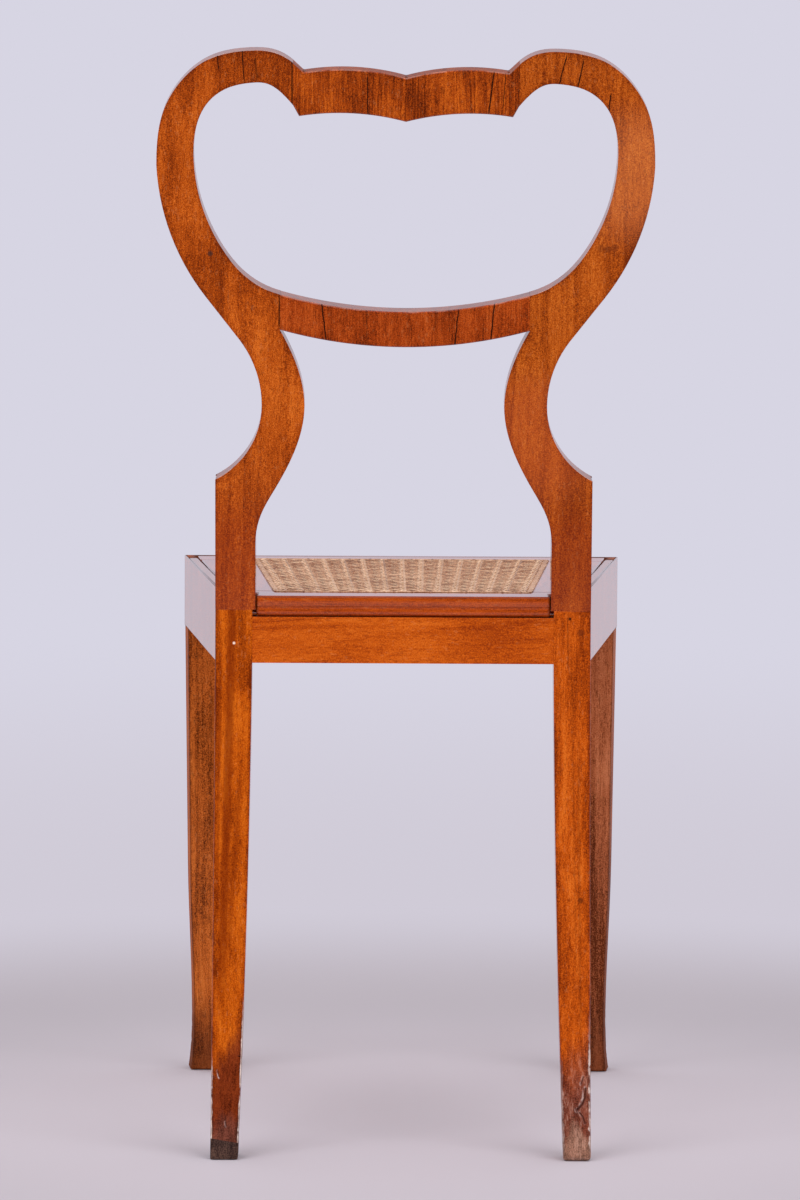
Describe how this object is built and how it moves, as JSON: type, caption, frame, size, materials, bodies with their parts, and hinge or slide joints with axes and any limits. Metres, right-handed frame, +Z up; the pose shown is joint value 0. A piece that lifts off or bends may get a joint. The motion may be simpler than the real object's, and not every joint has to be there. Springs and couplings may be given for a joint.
{
  "type": "caned side chair",
  "caption": "Veneered wooden side chair with an open curved back, sabre rear legs and a loose caned seat that lifts out of its rails.",
  "frame": {"origin": "on the floor under the middle of the chair's bounding box", "axes": "+Z up, the chair faces -Y, +X to the sitter's left"},
  "size_m": [0.4016, 0.485, 0.902],
  "materials": {
    "polished_veneer": "high-gloss French polish over figured red-brown veneer",
    "polished_edge": "polished edges of the veneered back",
    "polished_wood": "French-polished solid wood, worn at the feet",
    "front_leg_wood": "French-polished solid wood, browner",
    "spliced_tip": "darker repair wood, worn",
    "cane": "woven rattan cane, satin"
  },
  "bodies": {
    "chair_frame": {"rear_leg_left": "polished_wood", "rear_leg_right": "polished_wood", "rear_foot_tip_left": "spliced_tip", "front_leg_left": "front_leg_wood", "front_leg_right": "front_leg_wood", "rear_seat_rail": "polished_wood", "side_seat_rail_left": "polished_wood", "side_seat_rail_right": "polished_wood", "front_seat_rail": "polished_wood", "side_rail_veneer_left": "polished_veneer", "side_rail_veneer_right": "polished_veneer", "front_rail_veneer": "polished_veneer", "back_stile_left": "polished_edge", "back_stile_right": "polished_edge", "crest_rail": "polished_edge", "lower_back_rail": "polished_edge", "rear_veneer_stile_left": "polished_veneer", "rear_veneer_stile_right": "polished_veneer", "front_veneer_stile_left": "polished_veneer", "front_veneer_stile_right": "polished_veneer", "rear_veneer_crest": "polished_veneer", "front_veneer_crest": "polished_veneer", "rear_veneer_lower_rail": "polished_veneer", "front_veneer_lower_rail": "polished_veneer"},
    "seat": {"seat_frame_left": "polished_wood", "seat_frame_right": "polished_wood", "seat_frame_rear": "polished_wood", "seat_frame_front": "polished_wood", "cane_panel": "cane", "cane_binding": "cane"}
  },
  "joints": [
    {"name": "seat_lift", "type": "slide", "parent": "chair_frame", "child": "seat", "axis": [0, 0, 1], "range_m": [0, 0.04]}
  ]
}
